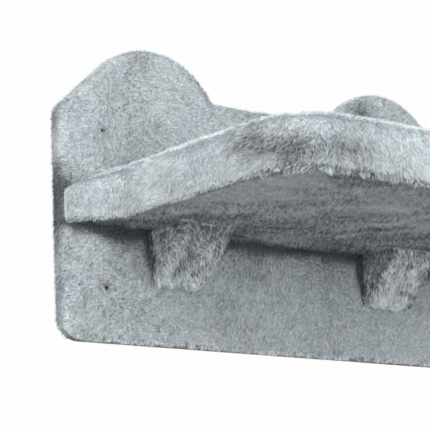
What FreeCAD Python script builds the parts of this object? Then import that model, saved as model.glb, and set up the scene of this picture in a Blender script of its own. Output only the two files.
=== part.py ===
import FreeCAD, Part
import math
import os
import Sketcher

# A plush-covered lounge shelf for a wall.  x runs along the wall, y=0 is the
# wall and the shelf reaches towards -y, z is up.  The origin is the middle of
# the four wall holes.  Sketches count z from the bottom edge of the backboard,
# and every sub-part is then lowered by the height of the hole pattern's middle.

os.makedirs("parts", exist_ok=True)
doc = FreeCAD.newDocument("PlushShelf")

SIZES = (
    ("overall_width", 500.0, "backboard, over its plush"),
    ("valley_height", 235.0, "backboard edge between the humps"),
    ("hump_radius", 78.5, "round humps, over the plush"),
    ("hump_centre_x", 145.0, "from the middle of the board"),
    ("hump_centre_z", 196.5, "above the bottom edge"),
    ("shoulder_angle", 42.0, "slope from the hump down to the side, degrees"),
    ("shoulder_round", 16.0, "corner below the slope"),
    ("foot_round", 22.0, "bottom corners"),
    ("valley_round", 10.0, "inner corner between hump and valley"),
    ("board_thickness", 15.0, "chipboard of the backboard"),
    ("plush_thickness", 4.0, "plush on the backboard"),
    ("hem_thickness", 1.5, "plush turned over at the rear, pressed"),
    ("hem_width", 28.0, "reach of that turned edge"),
    ("edge_round", 7.0, "soft front edge of the backboard"),
    ("wall_hole_radius", 2.25, "holes for wall screws"),
    ("wall_hole_inset", 45.0, "in from the sides of the backboard"),
    ("wall_hole_rise", 143.0, "from the lower to the upper holes"),
    ("lower_hole_height", 48.0, "above the bottom edge"),
    ("shelf_width", 415.0, "seat, over its plush"),
    ("shelf_depth", 255.0, "seat, from the backboard's plush to the front"),
    ("shelf_corner", 55.0, "front corners of the seat in plan"),
    ("shelf_base", 102.0, "lower edge of the seat's plush band"),
    ("shelf_thickness", 52.0, "seat at the top of its crown"),
    ("seat_crown", 3.0, "rise of the padding at its middle"),
    ("seat_top_round", 9.0, "padded top edge"),
    ("seat_low_round", 6.0, "lower edge of the band"),
    ("seat_plush", 4.5, "plush round the seat"),
    ("shelf_board_thickness", 15.0, "chipboard under the padding"),
    ("band_hem", 8.0, "band turned under the seat"),
    ("band_lip", 2.0, "band hangs this far below the underside"),
    ("lining_thickness", 3.5, "plush under the seat"),
    ("flare_inset", 1.5, "the band's spread end stops short of the backboard's side"),
    ("flare_depth", 24.0, "length of that spread, outwards"),
    ("flare_round", 16.0, "soft corners of its end"),
    ("block_width", 46.0, "wooden wedge under the seat"),
    ("block_reach", 45.0, "its top, out from the backboard"),
    ("block_nose", 6.0, "its foot, out from the backboard"),
    ("block_height", 47.0, "its height"),
    ("bracket_plush", 4.0, "plush round the wedge"),
    ("bracket_round", 4.5, "soft edges of the wedge"),
    ("bracket_spacing", 258.0, "between the middles of the wedges"),
    ("cover_clearance", 0.2, "between a board's edge and its cover"),
    ("screw_radius", 2.0, "shank of the chipboard screws"),
    ("screw_head_radius", 4.0, "countersunk head"),
    ("screw_head_depth", 2.5, "height of that head"),
    ("screw_clearance", 0.1, "round shank and head"),
    ("shelf_screw_length", 50.0, "through the backboard into the seat board"),
    ("shelf_screw_pitch", 150.0, "between those three screws"),
    ("bracket_screw_length", 38.0, "through the backboard into a wedge"),
    ("bracket_screw_pitch", 26.0, "between the two screws of a wedge"),
    ("bracket_screw_drop", 14.0, "below the top of the wedge"),
    ("fold_height", 4.5, "slack folds of the lining"),
    ("fold_margin", 6.0, "flat lining beside each wedge"),
)

sheet = doc.addObject("Spreadsheet::Sheet", "Sizes")
for row, (alias, value, note) in enumerate(SIZES, 1):
    sheet.set(f"A{row}", alias)
    sheet.set(f"B{row}", str(value))
    sheet.setAlias(f"B{row}", alias)
    sheet.set(f"C{row}", note)
doc.recompute()

# Places that several pieces share, as expressions on the sheet.
BACK = "(Sizes.hem_thickness + Sizes.board_thickness + Sizes.plush_thickness)"
HOLE_MIDDLE = "(Sizes.lower_hole_height + Sizes.wall_hole_rise / 2)"
LINING_LOW = "(Sizes.shelf_base + Sizes.band_lip)"
BOARD_LOW = f"({LINING_LOW} + Sizes.lining_thickness)"
BOARD_TOP = f"({BOARD_LOW} + Sizes.shelf_board_thickness)"
SEAT_TOP = "(Sizes.shelf_base + Sizes.shelf_thickness)"
ANGLE = "(Sizes.shoulder_angle * 1deg)"
FLARE_REACH = "(Sizes.overall_width / 2 - Sizes.flare_inset - Sizes.shelf_width / 2)"
SIDES = (("left", -1), ("right", 1))


def worth(expression):
    """The number that an expression on the sheet gives now."""
    value = sheet.evalExpression(expression)
    return float(getattr(value, "Value", value))


# ---------------------------------------------------------------- sketching

def new_body(name):
    return doc.addObject("PartDesign::Body", name)


def origin_plane(body, role):
    return next(f for f in body.Origin.OriginFeatures if f.Role == role)


def new_sketch(body, name, role, offset=None):
    """A sketch on an origin plane of the body, moved along the plane's normal."""
    sketch = body.newObject("Sketcher::SketchObject", name)
    sketch.AttachmentSupport = [(origin_plane(body, role), "")]
    sketch.MapMode = "FlatFace"
    if offset:
        sketch.setExpression("AttachmentOffset.Base.z", offset)
    return sketch


def pin_point(sketch, geometry, position, across, up):
    """Dimension one point from the sketch's origin by two expressions."""
    for kind, axis, expression in (("DistanceX", -2, across), ("DistanceY", -1, up)):
        value = worth(expression)
        if abs(value) < 1e-9:
            sketch.addConstraint(Sketcher.Constraint("PointOnObject", geometry, position, axis))
            continue
        if value > 0:
            ends = (-1, 1, geometry, position)
        else:
            ends = (geometry, position, -1, 1)
            expression = f"-({expression})"
        number = sketch.addConstraint(Sketcher.Constraint(kind, *ends, abs(value)))
        sketch.setExpression(f"Constraints[{number}]", expression)


def arc_between(start, end, radius, turn):
    """An arc of less than a half circle; turn +1 runs anticlockwise."""
    chord = end - start
    middle = (start + end) * 0.5
    rise = math.sqrt(max(radius ** 2 - (chord.Length / 2) ** 2, 0.0))
    normal = FreeCAD.Vector(-chord.y, chord.x, 0).normalize()
    centre = middle + normal * rise * turn
    outward = (middle - centre).normalize() if rise > 1e-9 else normal * -turn
    return Part.Arc(start, centre + outward * radius, end)


def draw_outline(sketch, stations):
    """A closed outline.  Each station is (across, up) or (across, up, radius,
    turn), where the last two make the stretch after it an arc."""
    points = [FreeCAD.Vector(worth(s[0]), worth(s[1]), 0) for s in stations]
    ends = []
    for number, station in enumerate(stations):
        start = points[number]
        end = points[(number + 1) % len(points)]
        if len(station) == 2:
            sketch.addGeometry(Part.LineSegment(start, end))
            ends.append((1, 2))
            continue
        sketch.addGeometry(arc_between(start, end, worth(station[2]), station[3]))
        first = sketch.getPoint(number, 1)
        ends.append((1, 2) if first.distanceToPoint(start) < 1e-4 else (2, 1))
    for number in range(len(stations)):
        following = (number + 1) % len(stations)
        joint = Sketcher.Constraint("Coincident", number, ends[number][1],
                                    following, ends[following][0])
        sketch.addConstraint(joint)
    for number, station in enumerate(stations):
        pin_point(sketch, number, ends[number][0], station[0], station[1])
        if len(station) > 2:
            radius = Sketcher.Constraint("Radius", number, worth(station[2]))
            index = sketch.addConstraint(radius)
            sketch.setExpression(f"Constraints[{index}]", station[2])


def draw_circles(sketch, centres, radius):
    for number, (across, up) in enumerate(centres):
        centre = FreeCAD.Vector(worth(across), worth(up), 0)
        sketch.addGeometry(Part.Circle(centre, FreeCAD.Vector(0, 0, 1), worth(radius)))
        pin_point(sketch, number, 3, across, up)
        index = sketch.addConstraint(Sketcher.Constraint("Radius", number, worth(radius)))
        sketch.setExpression(f"Constraints[{index}]", radius)


def pad(body, sketch, length, name="Pad"):
    feature = body.newObject("PartDesign::Pad", name)
    feature.Profile = sketch
    feature.setExpression("Length", length)
    doc.recompute()
    return feature


def pocket(body, sketch, length, name="Pocket", along_normal=True):
    """Cut along the sketch's normal, or against it, and prove that it cut."""
    before = body.Shape.Volume
    feature = body.newObject("PartDesign::Pocket", name)
    feature.Profile = sketch
    feature.Reversed = along_normal
    feature.setExpression("Length", length)
    doc.recompute()
    if body.Shape.Volume > before - 1e-3:
        raise RuntimeError(f"{body.Name}.{feature.Name} cut nothing")
    return feature


def round_edges(body, wanted, radius, name="Round"):
    """Fillet the edges of the body's tip for which wanted(edge) holds."""
    base = body.Tip
    picked = [f"Edge{n}" for n, edge in enumerate(base.Shape.Edges, 1) if wanted(edge)]
    if not picked:
        raise RuntimeError(f"{body.Name}.{name} found no edge")
    feature = body.newObject("PartDesign::Fillet", name)
    feature.Base = (base, picked)
    feature.setExpression("Radius", radius)
    doc.recompute()
    return feature


def along(edge, direction):
    """Whether a straight edge runs along the given unit vector."""
    if edge.Curve.TypeId != "Part::GeomLine":
        return False
    return abs(abs(edge.tangentAt(edge.FirstParameter).dot(direction)) - 1) < 1e-6


def stands_at(edge, axis, places):
    """Whether a straight edge along axis passes one of the (a, b) places,
    given in the other two coordinates in x, y, z order."""
    if not along(edge, axis):
        return False
    point = edge.CenterOfMass
    pair = [c for c, a in zip((point.x, point.y, point.z), axis) if abs(a) < 0.5]
    return any(math.hypot(pair[0] - a, pair[1] - b) < 0.05 for a, b in places)


X_AXIS = FreeCAD.Vector(1, 0, 0)
Y_AXIS = FreeCAD.Vector(0, 1, 0)
Z_AXIS = FreeCAD.Vector(0, 0, 1)


def finish(piece, label, across=None):
    """Name a sub-part and set it on the shelf's own origin."""
    piece.Label = label
    piece.setExpression("Placement.Base.z", f"-{HOLE_MIDDLE}")
    if across:
        piece.setExpression("Placement.Base.x", across)
    NODES.append(piece)
    return piece


NODES = []


def cut_away(name, base, *tools):
    """The base with each tool taken out of it."""
    result = base
    for number, tool in enumerate(tools, 1):
        step = doc.addObject("Part::Cut", f"{name}{number}")
        step.Base = result
        step.Tool = tool
        result = step
    doc.recompute()
    return result


# --------------------------------------------------------------- backboard

def board_body(name, inset, start, depth):
    """The backboard's outline drawn in by inset: a board with sloping
    shoulders, a round hump on each side and a straight valley between."""
    body = new_body(name)
    half = f"(Sizes.overall_width / 2 - {inset})"
    radius = f"(Sizes.hump_radius - {inset})"
    slope_x = f"(Sizes.hump_centre_x + {radius} * sin({ANGLE}))"
    slope_z = f"(Sizes.hump_centre_z + {radius} * cos({ANGLE}))"
    shoulder = f"({slope_z} - ({half} - {slope_x}) * tan({ANGLE}))"
    valley = f"(Sizes.valley_height - {inset})"

    outline = new_sketch(body, f"{name}Outline", "XZ_Plane", start)
    right = [(half, f"({inset})"), (half, shoulder), (slope_x, slope_z),
             ("Sizes.hump_centre_x", valley)]
    left = [(f"-({x})", z) for x, z in reversed(right)]
    draw_outline(outline, right + left)
    pad(body, outline, depth)

    humps = new_sketch(body, f"{name}Humps", "XZ_Plane", start)
    draw_circles(humps, [("Sizes.hump_centre_x", "Sizes.hump_centre_z"),
                         ("-Sizes.hump_centre_x", "Sizes.hump_centre_z")], radius)
    pad(body, humps, depth, "HumpPad")

    rise = worth(valley) - worth("Sizes.hump_centre_z")
    dip = worth("Sizes.hump_centre_x") - math.sqrt(worth(radius) ** 2 - rise ** 2)
    corners = (
        ("Shoulders", worth(half), worth(shoulder), f"max(Sizes.shoulder_round - {inset}; 2)"),
        ("Feet", worth(half), worth(inset), f"max(Sizes.foot_round - {inset}; 2)"),
        ("Valley", dip, worth(valley), f"Sizes.valley_round + {inset}"),
    )
    for label, x, z, rounding in corners:
        places = [(x, z), (-x, z)]
        round_edges(body, lambda e: stands_at(e, Y_AXIS, places), rounding, label)
    return body


WALL_HOLES = [(f"{sign}(Sizes.overall_width / 2 - Sizes.wall_hole_inset)", z)
              for sign in ("", "-")
              for z in ("Sizes.lower_hole_height",
                        "(Sizes.lower_hole_height + Sizes.wall_hole_rise)")]
SEAT_SCREW_Z = f"({BOARD_LOW} + Sizes.shelf_board_thickness / 2)"
SEAT_SCREW_X = [f"(Sizes.shelf_screw_pitch * {step})" for step in (-1, 0, 1)]
BRACKET_SCREW_Z = f"({LINING_LOW} - Sizes.bracket_screw_drop)"
BRACKET_SCREW_X = [f"({side} * Sizes.bracket_spacing / 2 + {step} * Sizes.bracket_screw_pitch)"
                   for side in (-1, 1) for step in (-0.5, 0.5)]
REAR_SCREWS = ([(x, SEAT_SCREW_Z) for x in SEAT_SCREW_X]
               + [(x, BRACKET_SCREW_Z) for x in BRACKET_SCREW_X])
SHANK_HOLE = "(Sizes.screw_radius + Sizes.screw_clearance)"
HEAD_HOLE = "(Sizes.screw_head_radius + Sizes.screw_clearance)"
PANEL_SCREW_REACH = "(Sizes.hem_thickness + Sizes.bracket_screw_length)"


def drill_rear(body, start, depth, holes, radius, name):
    sketch = new_sketch(body, f"{body.Name}{name}Circles", "XZ_Plane", start)
    draw_circles(sketch, holes, radius)
    return pocket(body, sketch, depth, name)


def countersink(body, sketch, name):
    """Countersunk through holes for flush screw heads."""
    before = body.Shape.Volume
    hole = body.newObject("PartDesign::Hole", name)
    hole.Profile = sketch
    doc.recompute()
    hole.DepthType = "ThroughAll"
    hole.setExpression("Diameter", f"2 * {SHANK_HOLE}")
    hole.HoleCutType = "Countersink"
    hole.HoleCutCustomValues = True
    hole.setExpression("HoleCutDiameter", f"2 * {HEAD_HOLE}")
    hole.setExpression("HoleCutCountersinkAngle",
                       "2 * atan((Sizes.screw_head_radius - Sizes.screw_radius)"
                       " / Sizes.screw_head_depth)")
    hole.Reversed = True
    doc.recompute()
    if body.Shape.Volume > before - 1e-3:
        raise RuntimeError(f"{name} cut nothing")
    return hole


def backboard_panel():
    body = board_body("Panel", "Sizes.plush_thickness", "Sizes.hem_thickness",
                      "Sizes.board_thickness")
    drill_rear(body, "Sizes.hem_thickness", "Sizes.board_thickness", WALL_HOLES,
               "Sizes.wall_hole_radius", "WallHoles")
    sketch = new_sketch(body, "ScrewCircles", "XZ_Plane", "Sizes.hem_thickness")
    draw_circles(sketch, REAR_SCREWS, SHANK_HOLE)
    doc.recompute()
    countersink(body, sketch, "ScrewHoles")
    return finish(body, "backboard_panel")


def backboard_plush():
    """The sheet over the front and the edges, turned over at the rear."""
    skin = board_body("Skin", "0", "0", BACK)
    front = -worth(BACK)
    round_edges(skin, lambda e: all(abs(v.Point.y - front) < 1e-6 for v in e.Vertexes)
                and abs(e.CenterOfMass.y - front) < 1e-6, "Sizes.edge_round", "SoftEdge")
    drill_rear(skin, "0", BACK, WALL_HOLES, "Sizes.wall_hole_radius", "WallHoles")
    drill_rear(skin, "0", BACK, REAR_SCREWS, SHANK_HOLE, "ScrewHoles")
    inside = board_body("SkinInside", "(Sizes.plush_thickness - Sizes.cover_clearance)",
                        "Sizes.hem_thickness", "Sizes.board_thickness")
    opening = board_body("SkinOpening", "Sizes.hem_width", "-1", "Sizes.hem_thickness + 1")
    return finish(cut_away("BackboardSkin", skin, inside, opening), "backboard_plush")


# -------------------------------------------------------------------- seat

def seat_body(name, inset, low, height, rear=BACK, crown=True):
    """The seat's outline drawn in by inset, open flat at the wall, with round
    front corners; with crown, its top bows up towards the middle."""
    body = new_body(name)
    half = f"(Sizes.shelf_width / 2 - {inset})"
    front = f"({BACK} + Sizes.shelf_depth - {inset})"
    outline = new_sketch(body, f"{name}Outline", "XY_Plane", low)
    draw_outline(outline, [(half, f"-({rear})"), (half, f"-{front}"),
                           (f"-{half}", f"-{front}"), (f"-{half}", f"-({rear})")])
    pad(body, outline, height)
    places = [(worth(half), -worth(front)), (-worth(half), -worth(front))]
    round_edges(body, lambda e: stands_at(e, Z_AXIS, places),
                f"Sizes.shelf_corner - {inset}", "FrontCorners")
    if crown:
        top = f"({low} + {height})"
        edge = f"({top} - Sizes.seat_crown)"
        bow = f"(({half} * {half} + Sizes.seat_crown * Sizes.seat_crown) / (2 * Sizes.seat_crown))"
        above = new_sketch(body, f"{name}Crown", "XZ_Plane")
        draw_outline(above, [(f"-{half}", edge, bow, -1), (half, edge),
                             (half, f"({top} + 1)"), (f"-{half}", f"({top} + 1)")])
        pocket(body, above, f"{front} + 1", "Crown")
    return body


def top_rim(lowest):
    """The edges round the seat's top, apart from the one at the wall."""
    rear = -worth(BACK)
    return lambda e: e.BoundBox.ZMin > lowest and e.BoundBox.YMin < rear - 1


def flare(body, name):
    """The band spreads out along the wall in a soft hollow curve."""
    sections = []
    for number, (reach, out) in enumerate(((1.0, 0.0), (0.55, 0.3), (-0.06, 1.0))):
        half = f"(Sizes.shelf_width / 2 + {reach} * {FLARE_REACH})"
        sketch = new_sketch(body, f"{name}Section{number}", "XZ_Plane",
                            f"{BACK} + {out} * Sizes.flare_depth")
        low = f"(Sizes.shelf_base + {0.5 + 1.5 * out})"
        high = f"({SEAT_TOP} - Sizes.seat_crown - {0.5 + 1.5 * out})"
        bend = "Sizes.flare_round"
        draw_outline(sketch, [
            (half, f"({low} + {bend})"),
            (half, f"({high} - {bend})", bend, 1),
            (f"({half} - {bend})", high),
            (f"-({half} - {bend})", high, bend, 1),
            (f"-{half}", f"({high} - {bend})"),
            (f"-{half}", f"({low} + {bend})", bend, 1),
            (f"-({half} - {bend})", low),
            (f"({half} - {bend})", low, bend, 1),
        ])
        sections.append(sketch)
    loft = body.newObject("PartDesign::AdditiveLoft", name)
    loft.Profile = sections[0]
    loft.Sections = sections[1:]
    doc.recompute()
    return loft


def shelf_board():
    body = seat_body("SeatBoard", "Sizes.seat_plush", BOARD_LOW,
                     "Sizes.shelf_board_thickness", crown=False)
    drill_rear(body, BACK, f"Sizes.hem_thickness + Sizes.shelf_screw_length - {BACK}",
               [(x, SEAT_SCREW_Z) for x in SEAT_SCREW_X], SHANK_HOLE, "Pilots")
    return finish(body, "shelf_board")


def shelf_foam():
    height = f"({SEAT_TOP} - Sizes.seat_plush - Sizes.cover_clearance - {BOARD_TOP})"
    body = seat_body("Foam", "Sizes.seat_plush", BOARD_TOP, height)
    return finish(body, "shelf_foam")


def shelf_plush():
    """The band and top cover, hemmed under the seat all round."""
    outer = seat_body("Cover", "0", "Sizes.shelf_base", "Sizes.shelf_thickness")
    base = worth("Sizes.shelf_base")
    round_edges(outer, top_rim(base + 20), "Sizes.seat_top_round", "TopRound")
    rear = -worth(BACK)
    round_edges(outer, lambda e: e.BoundBox.ZMax < base + 1e-6 and e.BoundBox.YMin < rear - 1,
                "Sizes.seat_low_round", "LowRound")
    flare(outer, "Flare")
    inset = "(Sizes.seat_plush - Sizes.cover_clearance)"
    height = f"({SEAT_TOP} - Sizes.seat_plush - {BOARD_LOW})"
    inside = seat_body("CoverInside", inset, BOARD_LOW, height, rear=f"{BACK} - 5")
    opening = seat_body("CoverOpening", "Sizes.band_hem", "Sizes.shelf_base - 5",
                        f"{BOARD_LOW} - Sizes.shelf_base + 5", rear=f"{BACK} - 5", crown=False)
    return finish(cut_away("SeatCover", outer, inside, opening), "shelf_plush")


# The lining is free from the middle to this far on either side, where the
# wedges press it to the board.
FREE = ("(Sizes.bracket_spacing / 2 - Sizes.block_width / 2 - Sizes.bracket_plush"
        " - Sizes.fold_margin)")

# Slack folds of the lining: (start and end across, as shares of FREE; start
# and end out from the backboard, as shares of the depth; half width; share of
# the full height).
FOLDS = (
    (-1.00, 0.96, 0.095, 0.10, 20, 1.0),
    (-0.94, 0.20, 0.23, 0.41, 13, 0.7),
    (-0.62, 1.25, 0.50, 0.61, 16, 0.5),
    (-1.56, 0.94, 0.82, 0.80, 15, 0.8),
)


def add_fold(body, number, fold):
    """One long soft ridge that dies out at both ends."""
    from_x, to_x, from_out, to_out, half_width, share = fold
    sections = []
    for step in (0.0, 0.2, 0.5, 0.8, 1.0):
        swell = math.sin(math.pi * (0.08 + 0.84 * step))
        across = f"({from_x + (to_x - from_x) * step:.4f} * {FREE})"
        out = f"({BACK} + {from_out + (to_out - from_out) * step:.4f} * Sizes.shelf_depth)"
        half = f"({half_width} * {0.45 + 0.55 * swell:.3f})"
        depth = f"(Sizes.fold_height * {share * swell:.3f})"
        radius = f"(({half} * {half} + {depth} * {depth}) / (2 * {depth}))"
        top = f"({LINING_LOW} + 0.01)"
        sketch = new_sketch(body, f"Fold{number}Section{len(sections)}", "YZ_Plane", across)
        draw_outline(sketch, [
            (f"-({out} + {half})", top),
            (f"-({out} + {half})", LINING_LOW, radius, 1),
            (f"-({out} - {half})", LINING_LOW),
            (f"-({out} - {half})", top),
        ])
        sections.append(sketch)
    loft = body.newObject("PartDesign::AdditiveLoft", f"Fold{number}")
    loft.Profile = sections[0]
    loft.Sections = sections[1:]
    loft.Ruled = True
    doc.recompute()


def shelf_lining():
    """The plush under the seat, slack between the wedges."""
    inset = "(Sizes.band_hem + Sizes.cover_clearance)"
    body = seat_body("Lining", inset, LINING_LOW, "Sizes.lining_thickness", crown=False)
    for number, fold in enumerate(FOLDS, 1):
        add_fold(body, number, fold)
    return finish(body, "shelf_lining")


# ---------------------------------------------------------------- brackets

def wedge_body(name, grow):
    """A wedge that tapers down to the backboard, grown on every outer face."""
    body = new_body(name)
    slant = "(Sizes.block_reach - Sizes.block_nose)"
    length = f"sqrt({slant} * {slant} + Sizes.block_height * Sizes.block_height)"
    reach = f"({BACK} + Sizes.block_reach + {grow} * {length} / Sizes.block_height)"
    nose = f"({BACK} + Sizes.block_nose + {grow} * ({length} - {slant}) / Sizes.block_height)"
    foot = f"({LINING_LOW} - Sizes.block_height - {grow})"
    side = new_sketch(body, f"{name}Side", "YZ_Plane")
    draw_outline(side, [(f"-{BACK}", LINING_LOW), (f"-{reach}", LINING_LOW),
                        (f"-{nose}", foot), (f"-{BACK}", foot)])
    feature = pad(body, side, f"Sizes.block_width + 2 * {grow}")
    feature.Midplane = True
    doc.recompute()
    return body


def bracket(side, sign):
    across = f"{sign} * Sizes.bracket_spacing / 2"
    block = wedge_body(f"Block{side}", "0")
    for name, step in (("Near", -0.5), ("Far", 0.5)):
        drill_rear(block, BACK, f"{PANEL_SCREW_REACH} - {BACK}",
                   [(f"({step} * Sizes.bracket_screw_pitch)", BRACKET_SCREW_Z)],
                   SHANK_HOLE, f"Pilot{name}")
    finish(block, f"bracket_block_{side}", across)

    rear = -worth(BACK)
    top = worth(LINING_LOW)
    outer = wedge_body(f"Wrap{side}", "Sizes.bracket_plush")
    round_edges(outer, lambda e: e.BoundBox.ZMin < top - 1 and e.BoundBox.YMin < rear - 1
                and e.CenterOfMass.y < rear - 1,
                "Sizes.bracket_round", "SoftEdges")
    inner = wedge_body(f"WrapInside{side}", "Sizes.cover_clearance")
    finish(cut_away(f"Wrap{side}Cut", outer, inner), f"bracket_plush_{side}", across)


# ------------------------------------------------------------------ screws

def screw(label, length, across, up):
    """A countersunk chipboard screw, driven from the rear, its head flush."""
    body = new_body(label.title().replace("_", ""))
    half = new_sketch(body, f"{body.Name}Half", "XZ_Plane")
    draw_outline(half, [
        ("0", "0"), ("Sizes.screw_head_radius", "0"),
        ("Sizes.screw_radius", "-Sizes.screw_head_depth"),
        ("Sizes.screw_radius", f"-({length})"), ("0", f"-({length})"),
    ])
    turn = body.newObject("PartDesign::Revolution", "Turn")
    turn.Profile = half
    turn.ReferenceAxis = (half, ["V_Axis"])
    turn.Angle = 360
    doc.recompute()
    body.Placement = FreeCAD.Placement(FreeCAD.Vector(), FreeCAD.Rotation(X_AXIS, -90))
    body.Label = label
    body.setExpression("Placement.Base.x", across)
    body.setExpression("Placement.Base.y", "-Sizes.hem_thickness")
    body.setExpression("Placement.Base.z", f"{up} - {HOLE_MIDDLE}")
    NODES.append(body)


def all_screws():
    for number, across in enumerate(SEAT_SCREW_X, 1):
        screw(f"shelf_screw_{number}", "Sizes.shelf_screw_length", across, SEAT_SCREW_Z)
    for number, across in enumerate(BRACKET_SCREW_X, 1):
        screw(f"bracket_screw_{number}", "Sizes.bracket_screw_length", across,
              BRACKET_SCREW_Z)


for build in (backboard_panel, backboard_plush, shelf_board, shelf_foam, shelf_plush,
              shelf_lining):
    build()
for side, sign in SIDES:
    bracket(side, sign)
all_screws()


# ------------------------------------------------------------------ output

doc.recompute()
for item in doc.Objects:
    if "Invalid" in item.State or "Error" in item.State:
        raise RuntimeError(f"{item.Name} failed: {item.State}")
for piece in NODES:
    shape = piece.Shape
    if shape.isNull() or not shape.isValid() or not shape.Solids:
        raise RuntimeError(f"{piece.Label} has no valid solid")
    shape.exportStep(os.path.join("parts", f"{piece.Label}.step"))
    box = shape.BoundBox
    print(f"{piece.Label}: {len(shape.Solids)} solid, {shape.Volume / 1000:.1f} cm3, "
          f"x {box.XMin:.1f}..{box.XMax:.1f} y {box.YMin:.1f}..{box.YMax:.1f} "
          f"z {box.ZMin:.1f}..{box.ZMax:.1f}")
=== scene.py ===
import math

import bpy
import numpy as np
from mathutils import Matrix, Vector, geometry, kdtree


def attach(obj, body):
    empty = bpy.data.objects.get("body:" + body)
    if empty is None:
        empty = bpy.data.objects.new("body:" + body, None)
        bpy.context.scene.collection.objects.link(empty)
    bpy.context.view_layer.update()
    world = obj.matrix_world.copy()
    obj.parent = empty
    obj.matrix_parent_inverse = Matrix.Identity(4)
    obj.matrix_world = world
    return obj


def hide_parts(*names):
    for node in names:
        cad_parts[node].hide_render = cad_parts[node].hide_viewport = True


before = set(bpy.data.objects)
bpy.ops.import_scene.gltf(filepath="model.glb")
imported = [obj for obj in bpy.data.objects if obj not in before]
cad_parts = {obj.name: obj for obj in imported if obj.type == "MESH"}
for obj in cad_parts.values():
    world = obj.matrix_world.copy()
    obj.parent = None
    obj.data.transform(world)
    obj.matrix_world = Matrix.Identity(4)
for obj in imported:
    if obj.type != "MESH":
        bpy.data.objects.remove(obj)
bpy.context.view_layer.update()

# A wall shelf for cats, covered in short grey plush: a backboard with two
# humps, a padded seat on two wedges.  Metres; x along the wall, the wall is
# y = 0 and the shelf reaches towards -y, z is up.

MM = 0.001
FORWARD = np.array((0.0, -1.0, 0.0))

# Sizes of the CAD model, in metres.
HALF_WIDTH = 0.250
BOTTOM = -0.1195
VALLEY = 0.1155          # the edge between the humps
HUMP = (0.145, 0.077)
HUMP_RADIUS = 0.0785
SHOULDER_ANGLE = math.radians(42)
SHOULDER_ROUND = 0.016
FOOT_ROUND = 0.022
VALLEY_ROUND = 0.010
BACK = 0.0205            # the backboard's front, from the wall
EDGE_ROUND = 0.007
HEM = 0.028              # cloth turned over at the rear
WALL_HOLES = [(sign * 0.205, z) for sign in (-1, 1) for z in (-0.0715, 0.0715)]
SEAT_HALF = 0.2075
SEAT_FRONT = 0.2755
SEAT_CORNER = 0.055
SEAT_LOW = -0.0175
SEAT_SIDE_TOP = 0.0332
SEAT_CROWN = 0.0015
FLARE_REACH = 0.043      # how far the band spreads sideways at the wall
FLARE_DEPTH = 0.034      # and how far from the wall that begins
FLARE_DROP = 0.0185      # how far its top comes down there
DROP_DEPTH = 0.050
LINING = -0.0155
LINING_TOP = -0.0128     # the chipboard of the seat begins just above this
BRACKET_X = 0.129
BRACKET_HALF = 0.027
BRACKET_FOOT = -0.0665

SKIN_DEPTH = 0.0022      # the cloth lies this far inside the plush's outer face
EDGE_SKIN = 0.0010       # the same, at the backboard's edges
REAR = 0.0007            # the turned hem, from the wall
REAR_ROUND = 0.0022      # soft edge towards the hem
HEM_INSET = 0.009        # the seat cover's hem, in from its edge
TOP_EDGE = 0.0005        # the seat's top pile begins this far under its crown


def link_object(name, data):
    made = bpy.data.objects.new(name, data)
    bpy.context.scene.collection.objects.link(made)
    return made


# ---- camera ----

def place_camera():
    """The photograph's view: from the left, in front and a little below."""
    yaw, pitch, roll = 0.689, 0.212, -0.041
    focal_px, frame_px, sensor_mm = 1909.84, 430, 36
    ahead = Vector((math.sin(yaw) * math.cos(pitch), math.cos(yaw) * math.cos(pitch),
                    math.sin(pitch)))
    level = Vector((math.cos(yaw), -math.sin(yaw), 0))
    upright = level.cross(ahead)
    right = level * math.cos(roll) + upright * math.sin(roll)
    up = upright * math.cos(roll) - level * math.sin(roll)
    data = bpy.data.cameras.new("Camera")
    data.sensor_width = sensor_mm
    data.lens = focal_px / frame_px * sensor_mm
    data.clip_start, data.clip_end = 0.01, 50
    camera = link_object("Camera", data)
    turn = Matrix((right, up, -ahead)).transposed()
    camera.matrix_world = Matrix.Translation((-1.1803, -1.3548, -0.3657)) @ turn.to_4x4()
    bpy.context.scene.camera = camera


place_camera()


# ---- noise ----

TABLE = np.random.default_rng(11).uniform(-1, 1, 1 << 16)


def noise(points, scale, seed=0):
    """Smooth noise from -1 to 1 whose lumps are about scale across."""
    p = np.asarray(points, float) / scale + 91.7 + 13.37 * seed
    cell = np.floor(p).astype(np.int64)
    part = p - cell
    part = part * part * (3 - 2 * part)
    total = 0.0
    for corner in np.ndindex(2, 2, 2):
        x, y, z = (cell + corner).T
        mixed = x * 73856093 ^ y * 19349663 ^ z * 83492791 ^ seed * 7919
        total = total + TABLE[mixed & 0xFFFF] * np.prod(np.abs(1 - np.array(corner) - part), axis=1)
    return total


def mottle(points, *layers):
    """Layers of noise, each an amount, a scale and a seed, added up."""
    return sum(amount * noise(points, scale, seed) for amount, scale, seed in layers)


def bell(x, width):
    """1 where x is 0, falling softly to 0 at about twice the width."""
    return np.exp(-(x / width) ** 2)


def columns(*values):
    """Numbers or rows of numbers, side by side as coordinates."""
    return np.stack(np.broadcast_arrays(*values), -1)


def unit(vectors):
    return vectors / np.maximum(np.linalg.norm(vectors, axis=-1, keepdims=True), 1e-12)


def smooth(x, low, high):
    """0 below low, 1 above high, and a soft step between."""
    t = np.clip((np.asarray(x, float) - low) / (high - low), 0, 1)
    return t * t * (3 - 2 * t)


# ---- meshes ----

def point_values(mesh, name, values):
    mesh.attributes.new(name, "FLOAT", "POINT").data.foreach_set(
        "value", np.asarray(values).astype(np.float32))


def add_piece(name, mesh, material):
    mesh.materials.append(material)
    piece = link_object(name, mesh)
    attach(piece, "root")
    return piece


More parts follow.
